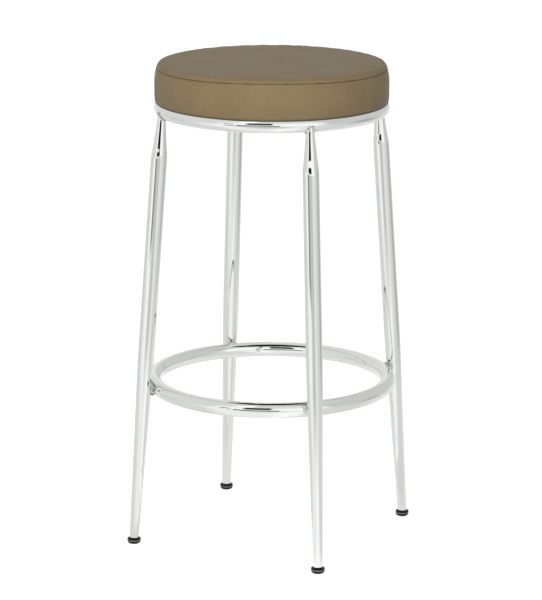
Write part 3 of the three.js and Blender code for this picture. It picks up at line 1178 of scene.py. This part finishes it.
@dataclass
class Leg:
    """A leg of round tube, drawn down to a neck at the top and to a narrow foot, with its welds.

    The sizes that the frame doesn't give are those of the CAD leg. Its upper taper is drawn finer,
    as a rounded shoulder, a short step and a long cone, and its corners are rounded.
    """

    place: LegPlace
    seat_ring: TubeRing
    foot_ring: TubeRing
    radius: float = 12.7
    foot_radius: float = 7.15
    neck_radius: float = 6.5
    neck_outset: float = 5.2
    lower_taper_top: float = 295.5
    waist_reach: Pair = (20.0, 20.0)  # how far the rounding goes where the long taper turns straight
    shoulder_drop: float = 64.9  # under the neck's top, where the straight tube starts to narrow
    step_drop: float = 48.9  # under the neck's top, where the rounded shoulder ends
    step_radius: float = 11.75
    cone_drop: float = 42.4  # under the neck's top, where the long cone of the neck starts
    cone_radius: float = 10.75
    hollow_reach: Pair = (3.0, 3.0)  # the same where the step turns into the cone
    throat_reach: Pair = (5.0, 4.0)  # the same where the cone turns straight
    longest_row: float = 12.0
    lip: float = 1.0  # rounding of the tube's end over the glide
    bore: float = 5.6
    seat_bead: Bead = Bead(1.5, ripples=17, ripple=0.13, wander=0.08)
    bead_outset: float = 0.3  # from the neck's side to the seat bead's middle
    bead_drop: float = 1.0  # from where the neck meets the ring to that middle
    search: float = 12.0  # how far under the ring that meeting is looked for
    halvings: int = 30
    foot_bead: Bead = Bead(2.5, ripples=19, ripple=0.12, wander=0.1)
    foot_bead_reach: float = 8.6
    sides: int = 72
    finish: Finish = field(default_factory=ChromePlate)

    def __post_init__(self) -> None:
        """Works out the leg's axis from the glide and the seat ring."""
        self.foot_height = Box.of(f"leg_{self.place.label}").bottom
        self.out = Axes.turned(self.place.value).x
        self.neck_height = self.seat_ring.height - self.seat_ring.tube_radius
        foot_reach = float(Box.of(f"glide_{self.place.label}").middle @ self.out)
        neck_reach = self.seat_ring.radius + self.neck_outset
        slope = (foot_reach - neck_reach) / (self.seat_ring.height - self.foot_height)
        self.stretch = math.hypot(1, slope)  # length along the axis for each millimetre of height
        self.widening = (self.radius - self.foot_radius) / (self.lower_taper_top - self.foot_height)
        origin = self.out * (foot_reach + self.foot_height * slope)
        self.axes = Axes.about(origin, UP - self.out * slope, self.out)

    @staticmethod
    def rounded(corner: Pair, slopes: Pair, reach: Pair, count: int) -> np.ndarray:
        """A corner of the side view where one slope turns into another.

        Args:
            corner: Its radius and height.
            slopes: How fast the radius shrinks with height, under the corner and over it.
            reach: How far the rounding goes, under the corner and over it.
            count: How many points it has.

        Returns:
            Rows of radius and height.
        """
        start = (corner[0] + reach[0] * slopes[0], corner[1] - reach[0])
        end = (corner[0] - reach[1] * slopes[1], corner[1] + reach[1])
        return bend(start, corner, end, count=count)

    def outline(self) -> np.ndarray:
        """The leg's side view: lip, long taper, straight, rounded shoulder, steep step, cone and bore."""
        foot, neck, ring = self.foot_height, self.neck_height, self.seat_ring.height
        step_height, cone_height = neck - self.step_drop, neck - self.cone_drop
        steep = (self.step_radius - self.cone_radius) / (cone_height - step_height)
        cone = (self.cone_radius - self.neck_radius) / self.cone_drop
        edge = (self.foot_radius, foot)
        lip = bend((self.foot_radius - self.lip, foot), edge, (self.foot_radius, foot + self.lip), count=7)
        waist_corner = (self.radius, self.lower_taper_top)
        waist = self.rounded(waist_corner, (-self.widening, 0.0), self.waist_reach, count=10)
        corner = (self.radius, step_height - (self.radius - self.step_radius) / steep)
        start = (self.radius, neck - self.shoulder_drop)
        shoulder = bend(start, corner, (self.step_radius, step_height), count=20)
        hollow = self.rounded((self.cone_radius, cone_height), (steep, cone), self.hollow_reach, count=8)
        throat = self.rounded((self.neck_radius, neck), (cone, 0.0), self.throat_reach, count=8)
        outer = np.concatenate([lip, waist, shoulder, hollow, throat])
        along = lengths_along(outer)
        rows = np.concatenate([along, np.arange(0, along[-1], self.longest_row)])
        outer = resampled(outer, np.unique(rows))
        ends = [[self.neck_radius, ring], [self.bore, ring], [self.bore, foot]]
        return np.concatenate([outer, ends]) * [1.0, self.stretch]

    def seat_weld(self) -> Surface:
        """The bead in the corner between the neck and the seat ring.

        For each angle t round the neck, the height where the neck meets the ring's tube is found
        by halving the interval in which the distance to the tube's centre line passes its radius.

        Returns:
            The bead.
        """
        t = angles(self.seat_bead.columns)
        round_neck = np.stack([np.cos(t), np.sin(t), np.zeros_like(t)], axis=1)
        low = np.full_like(t, (self.neck_height - self.search) * self.stretch)
        high = np.full_like(t, self.seat_ring.height * self.stretch)
        for _ in range(self.halvings):
            middle = (low + high) / 2
            points = self.axes.place(round_neck * self.neck_radius + np.outer(middle, UP))
            flat = np.linalg.norm(points[:, :2], axis=1) - self.seat_ring.radius
            inside = np.hypot(flat, points[:, 2] - self.seat_ring.height) < self.seat_ring.tube_radius
            high = np.where(inside, middle, high)
            low = np.where(inside, low, middle)
        ring = round_neck * (self.neck_radius + self.bead_outset)
        path = self.axes.place(ring + np.outer(high - self.bead_drop, UP))
        across = self.axes.place(round_neck) - self.axes.origin
        return self.seat_bead.along(path, across, int(self.place.value))

    def foot_weld(self) -> Surface:
        """The bead round the spot where the foot ring touches the leg.

        At angle t it runs c cos t along the ring and c sin t up the leg. There the ring falls away
        by (c sin t)^2 / 2r and the leg by (c cos t)^2 / 2R, and the bead lies half way between.

        Returns:
            The bead.
        """
        t = angles(self.foot_bead.columns)
        ring = self.foot_ring
        beside, up = self.foot_bead_reach * np.cos(t), self.foot_bead_reach * np.sin(t)
        leg_radius = self.radius - (self.lower_taper_top - ring.height) * self.widening
        gap = beside**2 / 2 / leg_radius - up**2 / 2 / ring.tube_radius
        out = ring.radius + ring.tube_radius + gap / 2
        directions = np.stack([self.out, np.cross(UP, self.out), UP])
        path = np.stack([out, beside, ring.height + up], axis=1) @ directions
        return self.foot_bead.along(path, self.out, int(self.place.value) + 1)

    def build(self) -> None:
        """Makes the leg and its two welds."""
        tube = revolved(self.outline(), self.sides, closed=True).moved(self.axes)
        parts = [
            ("leg_tube", tube, self.finish, "leg"),
            ("seat_bead", self.seat_weld(), PlatedWeld(), "seat_weld"),
            ("foot_bead", self.foot_weld(), PlatedWeld(), "foot_weld"),
        ]
        for name, surface, finish, node in parts:
            place = self.place.label
            make_piece(f"{name}_{place}", surface, finish, "chrome_tube", f"{node}_{place}")


@dataclass
class Glide:
    """A domed button of nylon under a leg, with a collar that the tube's end sits on."""

    place: LegPlace
    face_radius: float = 5.0
    rim_height: float = 1.6
    top_round: float = 1.6
    stem_radius: float = 5.2
    stem_point: float = 2.0
    sides: int = 72
    finish: Finish = field(default_factory=BlackNylon)

    def outline(self, box: Box) -> np.ndarray:
        """The side view, from the middle of the flat foot out, up and in to the top of the stem.

        Args:
            box: The CAD glide's box.

        Returns:
            Rows of radius and height.
        """
        rim, stem, point = box.radius, self.stem_radius, self.stem_point
        shoulder = Box.of(f"leg_{self.place.label}").bottom - TOUCH_GAP
        rim_top = shoulder - self.top_round
        dome = bend((self.face_radius, 0.0), (rim, 0.0), (rim, rim_top - self.rim_height), count=18)
        edge = bend((rim, rim_top), (rim, shoulder), (rim - self.top_round, shoulder), count=9)
        peg = [[stem, shoulder], [stem, box.top - point], [stem - point, box.top], [0.0, box.top]]
        return np.concatenate([[[0.0, 0.0]], dome, edge, peg])

    def build(self) -> None:
        """Makes the glide."""
        node = f"glide_{self.place.label}"
        box = Box.of(node)
        foot = Axes(box.middle * [1, 1, 0], *np.eye(3))
        button = revolved(self.outline(box), self.sides).moved(foot)
        make_piece(f"{node}_button", button, self.finish, "black_plastic", node)


# Under the seat


@dataclass
class SeatFixing:
    """A flat tab on the seat ring, with the screw and washer that hold the seat down.

    Each is worked out about the screw, with X pointing away from the stool's axis.
    """

    place: TabPlace
    ring: TubeRing
    half_width: float = 12.0
    hole_radius: float = 3.4
    edge: float = 0.5  # rounding of the tab's edges
    tab_end: float = 0.62  # of the tube's radius, in from its centre line to where the tab ends
    screw_radius: float = 3.0
    flat_face: float = 0.55  # of the head's radius
    head_side: float = 2.2
    recess_depth: float = 1.8
    recess_arm: float = 2.9
    recess_width: float = 0.55
    recess_slope: float = 0.15
    recess_power: float = 0.6
    face_height: float = 0.2  # of the part of the head that the recess goes into
    washer_edge: float = 0.25
    sides: int = 96
    washer_sides: int = 72

    def __post_init__(self) -> None:
        """Reads the boxes of the tab, the screw and the washer."""
        kinds = ("tab", "screw", "washer")
        self.boxes = {kind: Box.of(f"{kind}_{self.place.label}") for kind in kinds}
        self.reach = float(self.boxes["screw"].middle @ Axes.turned(self.place.value).x)
        self.axes = Axes.turned(self.place.value, self.reach)

    def tab(self) -> Surface:
        """The tab as rings of points round its hole, out to the edge at min(w / |sin t|, e / cos t)."""
        box = self.boxes["tab"]
        t = angles(self.sides) + TURN / self.sides / 2
        end = self.ring.radius - self.reach - self.ring.tube_radius * self.tab_end
        strip = np.minimum(self.half_width / np.abs(np.sin(t)), end / np.maximum(np.cos(t), 1e-3))
        rim = np.where(np.cos(t) > 0, strip, self.half_width)
        wall = rounded_wall(self.hole_radius, rim, box.bottom, box.top, self.edge)
        rows = [np.stack([r * np.cos(t), r * np.sin(t), np.full_like(t, z)], axis=-1) for r, z in wall]
        return Surface.grid(np.stack(rows), rows_close=True)

    def screw(self) -> Surface:
        """A pan head with a cross recess, on a plain shank.

        The head's face is pushed up by d (1 - max(|x|, |y|) / a)^p where min(|x|, |y|) < w.

        Returns:
            The surface.
        """
        box = self.boxes["screw"]
        head, shank, bottom = box.radius, self.screw_radius, box.bottom
        flat = head * self.flat_face
        seat = self.boxes["washer"].bottom - TOUCH_GAP
        face = np.linspace([0.0, bottom], [flat, bottom], num=22)
        dome = bend((flat, bottom), (head, bottom), (head, bottom + self.head_side), count=10)[1:]
        rest = [[head, seat], [shank, seat], [shank, box.top], [0.0, box.top]]
        surface = revolved(np.concatenate([face, dome, rest]), self.sides)
        sideways = np.abs(surface.points[:, :2])
        slope = np.clip((self.recess_width - sideways.min(axis=1)) / self.recess_slope, 0, 1)
        depth = np.clip(1 - sideways.max(axis=1) / self.recess_arm, 0, 1) ** self.recess_power
        on_face = surface.points[:, 2] < bottom + self.face_height
        surface.points[:, 2] += np.where(on_face, slope * self.recess_depth * depth, 0)
        return surface

    def washer(self) -> Surface:
        """A flat washer with rounded edges: a closed outline turned about the screw."""
        box, inner = self.boxes["washer"], self.screw_radius + TOUCH_GAP
        wall = rounded_wall(inner, box.radius, box.bottom, box.top, self.washer_edge)
        return revolved(np.array(wall), self.washer_sides, closed=True)

    def build(self) -> None:
        """Makes the tab, the screw and the washer."""
        parts = [
            ("tab", self.tab(), ChromePlate(), "chrome_tube"),
            ("screw", self.screw(), ZincPlate(), "zinc_hardware"),
            ("washer", self.washer(), ZincPlate(), "zinc_hardware"),
        ]
        for kind, surface, finish, slot in parts:
            node = f"{kind}_{self.place.label}"
            make_piece(f"seat_{node}", surface.moved(self.axes), finish, slot, node)


@dataclass
class Staples:
    """The wire staples that hold the dust cover round its edge."""

    count: int = 36
    crown: float = 10.0
    bow: Pair = (4.0, 0.05)  # how long the middle is that bows away from the cloth, and how far
    corner: Pair = (0.4, 0.3)  # how far each corner's bend runs along the crown and into the board
    leg: float = 0.9  # how far the ends reach into the board
    lean: float = 0.4  # tips the side that the wire's angles count from, so it is never along it
    wire: float = 0.6  # half the wire's thickness
    inset: float = 7.5  # the staples inside the cloth's edge
    turn_error: float = 0.8  # in degrees
    tilt_error: float = 0.05
    inset_error: float = 0.5
    sides: int = 8
    seed: int = 3

    def build(self) -> None:
        """Makes all the staples as one piece: short bars along the cloth's edge, with bent ends."""
        cloth = Box.of("dust_cover")
        rng = np.random.default_rng(self.seed)
        (length, out), (run, rise) = self.bow, self.corner
        half, flat = self.crown / 2, length / 2
        side = np.array([-half, -half, -half + run, -flat, flat, half - run, half, half])
        up = np.array([self.leg, rise, 0.0, -out, -out, 0.0, rise, self.leg])
        bars = []
        for turn in np.arange(self.count) / self.count * 360:
            axes = Axes.turned(float(turn + rng.normal(0, self.turn_error)))
            tilt = rng.normal(0, self.tilt_error)
            reach = cloth.radius - self.inset + rng.normal(0, self.inset_error)
            path = np.stack([reach + tilt * side, side, cloth.bottom - self.wire + up], axis=1)
            wires, near = np.full(len(path), self.wire), UP + [self.lean, 0.0, 0.0]
            bars.append(swept(path, near, wires, self.sides, closed=False).moved(axes))
        make_piece("dust_cover_staples", Surface.joined(bars), StapleWire(), "zinc_hardware")


# The studio


@dataclass(frozen=True)
class Patch:
    """A patch of the room that the chrome mirrors.

    Angles are degrees: across is measured from the camera's direction, to its right, and up is
    measured over the horizon.
    """

    across: Pair
    up: Pair
    shade: float
    soft: float


@dataclass(frozen=True)
class FloorRing:
    """A ring of floor across which the greys that the chrome mirrors change into others."""

    start: float
    end: float
    greys: Stops


# Greys of the floor by their place across, near the stool, further off and far away.
NEAR_GREYS = (
    (-180, 0.87), (-130, 0.85), (-100, 0.76), (-58, 0.8), (-40, 0.98), (-8, 0.96),
    (12, 1.13), (26, 1.04), (42, 0.78), (80, 0.74), (112, 0.87), (180, 0.87),
)
MIDDLE_GREYS = (
    (-180, 0.95), (-110, 0.7), (-85, 0.76), (-54, 1.0), (-40, 1.1), (-30, 0.98), (-16, 0.68), (-3, 0.58),
    (10, 0.68), (24, 0.93), (40, 0.84), (75, 0.69), (102, 0.44), (130, 0.7), (180, 0.95),
)
FAR_GREYS = (
    (-180, 0.95), (-110, 0.7), (-85, 0.76), (-58, 1.1), (-48, 1.1), (-44, 0.3), (-37, 0.25), (-28, 0.4),
    (-16, 0.66), (0, 0.6), (8, 0.64), (24, 0.92), (40, 0.85), (75, 0.7), (102, 0.44), (130, 0.7), (180, 0.95),
)


@dataclass
class Studio:
    """A white room with soft light, and the camera.

    The stool is seen from its front right, from well above the seat, through a long lens. The
    camera sees the floor and the backdrop white. The chrome mirrors them too, with the greys that
    a white room really has: by their place across, and on the floor by how far off they are.
    """

    turn: float = 26.13  # the camera's place round the stool, in degrees from the front
    distance: float = 4428.0  # from the stool's axis, level
    height: float = 1455.6
    pitch: float = 13.67
    roll: float = 0.22
    lens: float = 173.3
    sensor: float = 36.0
    farthest: float = 100000.0  # that the camera sees
    floor_radius: float = 15000.0
    floor_sides: int = 96
    floor_colour: str = "#E6E6E4"
    floor_glow: float = 0.74
    ambient: float = 0.362
    rings: tuple[FloorRing, ...] = (
        FloorRing(750.0, 1850.0, MIDDLE_GREYS),
        FloorRing(3200.0, 3700.0, FAR_GREYS),
    )
    sky: Stops = ((-90, 1.1), (28, 1.1), (45, 0.836), (90, 0.682))
    patches: tuple[Patch, ...] = (
        Patch((-180.0, -52.0), (-10.0, 60.0), 0.78, 20.0),
        Patch((52.0, 180.0), (-10.0, 60.0), 0.66, 20.0),
        Patch((-44.0, -22.0), (48.0, 70.0), 1.3, 4.0),
        Patch((-34.0, 8.0), (-0.8, 9.5), 0.02, 2.5),
        Patch((-48.0, -37.0), (12.0, 21.0), 0.1, 3.0),
        Patch((-26.0, 1.0), (18.0, 45.0), 0.04, 4.0),
    )
    lamp_turn: float = -8.0  # from the camera's place, to its right
    lamp_up: float = 18.0  # over the seat, in degrees
    lamp_aim: float = 600.0  # the height that it points at
    lamp_distance: float = 3600.0  # from there
    lamp_size: float = 2000.0
    lamp_watts: float = 80.0

    def camera(self) -> None:
        """Sets up the camera at the photograph's angle."""
        data = bpy.data.cameras.new("camera")
        data.lens = self.lens
        data.sensor_width = self.sensor
        data.clip_end = self.farthest * MM
        eye = bpy.data.objects.new("camera", data)
        t = math.radians(self.turn)
        eye.location = Vector((math.sin(t) * self.distance, -math.cos(t) * self.distance, self.height)) * MM
        level = Euler((math.radians(90 - self.pitch), 0.0, t)).to_matrix()
        eye.rotation_euler = (level @ Euler((0.0, 0.0, math.radians(self.roll))).to_matrix()).to_euler()
        bpy.context.scene.collection.objects.link(eye)
        bpy.context.scene.camera = eye

    def across(self, tree: Tree, place: Socket) -> bpy.types.Node:
        """The angle of a point or direction round the stool from the camera's, in radians.

        Args:
            tree: The node tree.
            place: The point or direction.

        Returns:
            The arctangent of its part to the camera's right over its part towards the camera.
        """
        t = math.radians(self.turn)
        right, towards = (math.cos(t), math.sin(t), 0.0), (math.sin(t), -math.cos(t), 0.0)
        parts = [
            add_node(tree, "VectorMath", {0: place, 1: direction}, operation="DOT_PRODUCT").outputs["Value"]
            for direction in (right, towards)
        ]
        return add_node(tree, "Math", {0: parts[0], 1: parts[1]}, operation="ARCTAN2")

    @staticmethod
    def greys(tree: Tree, angle: Source, stops: Stops) -> bpy.types.Node:
        """A ramp of greys by an angle.

        Args:
            tree: The node tree.
            angle: The angle in radians.
            stops: Degrees, from -180 to 180, with their greys.

        Returns:
            The ramp.
        """
        share = add_node(tree, "MapRange", {"Value": angle, "From Min": -TURN / 2, "From Max": TURN / 2})
        spread = tuple((degrees / 360 + 0.5, level) for degrees, level in stops)
        return add_node(tree, "ValToRGB", {0: share}, stops=spread)

    @staticmethod
    def inside(tree: Tree, patch: Patch, across: Source, up: Source) -> bpy.types.Node:
        """1 inside a patch, falling softly to 0 at its edges.

        Args:
            tree: The node tree.
            patch: The patch.
            across: The angle across, in radians.
            up: The angle over the horizon, in radians.

        Returns:
            The mask, as the product of a rise and a fall across and of a rise and a fall upwards.
        """
        mask = 1.0
        half = math.radians(patch.soft / 2)
        for angle, span in ((across, patch.across), (up, patch.up)):
            low, high = map(math.radians, span)
            for start, end in ((low - half, low + half), (high + half, high - half)):
                change = {"Value": angle, "From Min": start, "From Max": end}
                edge = add_node(tree, "MapRange", change, interpolation_type="SMOOTHSTEP")
                mask = add_node(tree, "Math", {0: edge, 1: mask}, operation="MULTIPLY")
        return mask

    def floor_shade(self, tree: Tree) -> Socket:
        """The greys that the chrome mirrors in the floor: by their place across, changing from ring to ring.

        Args:
            tree: The floor's node tree.

        Returns:
            The grey.
        """
        place = add_node(tree, "TexCoord").outputs["Object"]
        angle = self.across(tree, place)
        length = add_node(tree, "VectorMath", {0: place}, operation="LENGTH").outputs["Value"]
        shade = self.greys(tree, angle, NEAR_GREYS).outputs["Color"]
        for ring in self.rings:
            change = {"Value": length, "From Min": ring.start * MM, "From Max": ring.end * MM}
            share = add_node(tree, "MapRange", change, interpolation_type="SMOOTHSTEP")
            mix = {0: share, MIX_FROM: shade, MIX_TO: self.greys(tree, angle, ring.greys)}
            shade = add_node(tree, "Mix", mix, data_type="RGBA").outputs[MIX_RESULT]
        return shade

    def floor(self) -> None:
        """Lays the floor: pale paper that keeps the stool's shadow, and is clear from below."""
        disc = revolved(np.array([[self.floor_radius, 0.0], [0.0, 0.0]]), self.floor_sides)
        floor = make_object("floor", disc)
        material = bpy.data.materials.new("seamless paper")
        floor.data.materials.append(material)
        tree = emptied(material)
        rays = add_node(tree, "LightPath").outputs
        straight = {0: rays["Is Camera Ray"], 1: rays["Is Transmission Ray"]}
        seen = add_node(tree, "Math", straight, operation="MAXIMUM")
        glow = add_node(tree, "Math", {0: seen, 1: self.floor_glow}, operation="MULTIPLY")
        paper = add_node(tree, "BsdfDiffuse", {"Color": linear(self.floor_colour)})
        shine = add_node(tree, "Emission", {"Color": grey(1.0), "Strength": glow})
        lit = add_node(tree, "AddShader", {0: paper, 1: shine})
        mirrored = add_node(tree, "Emission", {"Color": self.floor_shade(tree)})
        above = add_node(tree, "MixShader", {0: rays["Is Glossy Ray"], 1: lit, 2: mirrored})
        under = add_node(tree, "NewGeometry").outputs["Backfacing"]
        sides = {0: under, 1: above, 2: add_node(tree, "BsdfTransparent")}
        add_node(tree, "OutputMaterial", {"Surface": add_node(tree, "MixShader", sides)})

    def room_shade(self, tree: Tree) -> Socket:
        """The greys that the chrome mirrors over the horizon: a sky by height, with the patches on it.

        Args:
            tree: The world's node tree.

        Returns:
            The grey.
        """
        away = add_node(tree, "TexCoord").outputs["Generated"]
        angle = self.across(tree, away)
        height = add_node(tree, "SeparateXYZ", {0: away}).outputs["Z"]
        up = add_node(tree, "Math", {0: height}, operation="ARCSINE")
        shade = self.greys(tree, up, self.sky).outputs["Color"]
        for patch in self.patches:
            mix = {0: self.inside(tree, patch, angle, up), MIX_FROM: shade, MIX_TO: grey(patch.shade)}
            shade = add_node(tree, "Mix", mix, data_type="RGBA").outputs[MIX_RESULT]
        return shade

    def room(self) -> None:
        """Sets the world: even light, a white backdrop, and for the chrome a room with its greys."""
        world = bpy.data.worlds.new("white studio")
        bpy.context.scene.world = world
        tree = emptied(world)
        rays = add_node(tree, "LightPath").outputs
        bent = {0: rays["Is Glossy Ray"], 1: rays["Is Transmission Ray"]}
        mirrored = add_node(tree, "Math", bent, operation="MAXIMUM")
        light = {0: mirrored, MIX_FROM: grey(self.ambient), MIX_TO: self.room_shade(tree)}
        light = add_node(tree, "Mix", light, data_type="RGBA").outputs[MIX_RESULT]
        seen = {0: rays["Is Camera Ray"], MIX_FROM: light, MIX_TO: grey(1.0)}
        colour = add_node(tree, "Mix", seen, data_type="RGBA").outputs[MIX_RESULT]
        add_node(tree, "OutputWorld", {"Surface": add_node(tree, "Background", {"Color": colour})})

    def softbox(self) -> None:
        """Hangs a square softbox that points at the seat and isn't mirrored in the chrome."""
        data = bpy.data.lights.new("softbox", "AREA")
        data.shape = "SQUARE"
        data.size = self.lamp_size * MM
        data.energy = self.lamp_watts
        box = bpy.data.objects.new("softbox", data)
        t, e = math.radians(self.turn + self.lamp_turn), math.radians(self.lamp_up)
        back = Vector((math.sin(t) * math.cos(e), -math.cos(t) * math.cos(e), math.sin(e)))
        box.location = (back * self.lamp_distance + Vector((0.0, 0.0, self.lamp_aim))) * MM
        box.rotation_euler = back.to_track_quat("Z", "Y").to_euler()
        box.visible_glossy = False
        bpy.context.scene.collection.objects.link(box)

    def build(self) -> None:
        """Sets up the camera, the floor, the room and the lamp."""
        bpy.context.scene.view_settings.view_transform = "Standard"
        self.camera()
        self.floor()
        self.room()
        self.softbox()


def dress(nodes: list[str], finish: Finish) -> None:
    """Gives CAD nodes that stay as they are a better material.

    Args:
        nodes: The nodes' names.
        finish: What they are made of.
    """
    for name in nodes:
        mesh = bpy.data.objects[name].data
        mesh.materials.clear()
        mesh.materials.append(finish.material())
        log.info("%s: %s", name, finish.name)


def main() -> None:
    """Builds the stool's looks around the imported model."""
    logging.basicConfig(level=logging.INFO, format="%(message)s")
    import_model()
    Studio().build()
    seat_ring = TubeRing("seat_ring", vent_turn=22.5, vent_side=180.0)
    foot_ring = TubeRing("foot_ring", vent_turn=-4.5, vent_side=0.0)
    Cushion(seat_ring).build()
    seat_ring.build()
    foot_ring.build()
    for place in LegPlace:
        Leg(place, seat_ring, foot_ring).build()
        Glide(place).build()
    for place in TabPlace:
        SeatFixing(place, seat_ring).build()
    Staples().build()
    dress(["seat_board"], Plywood())
    dress(["dust_cover"], DustCloth())
    dress([f"t_nut_{place.label}" for place in TabPlace], ZincPlate())


if __name__ == "__main__":
    main()
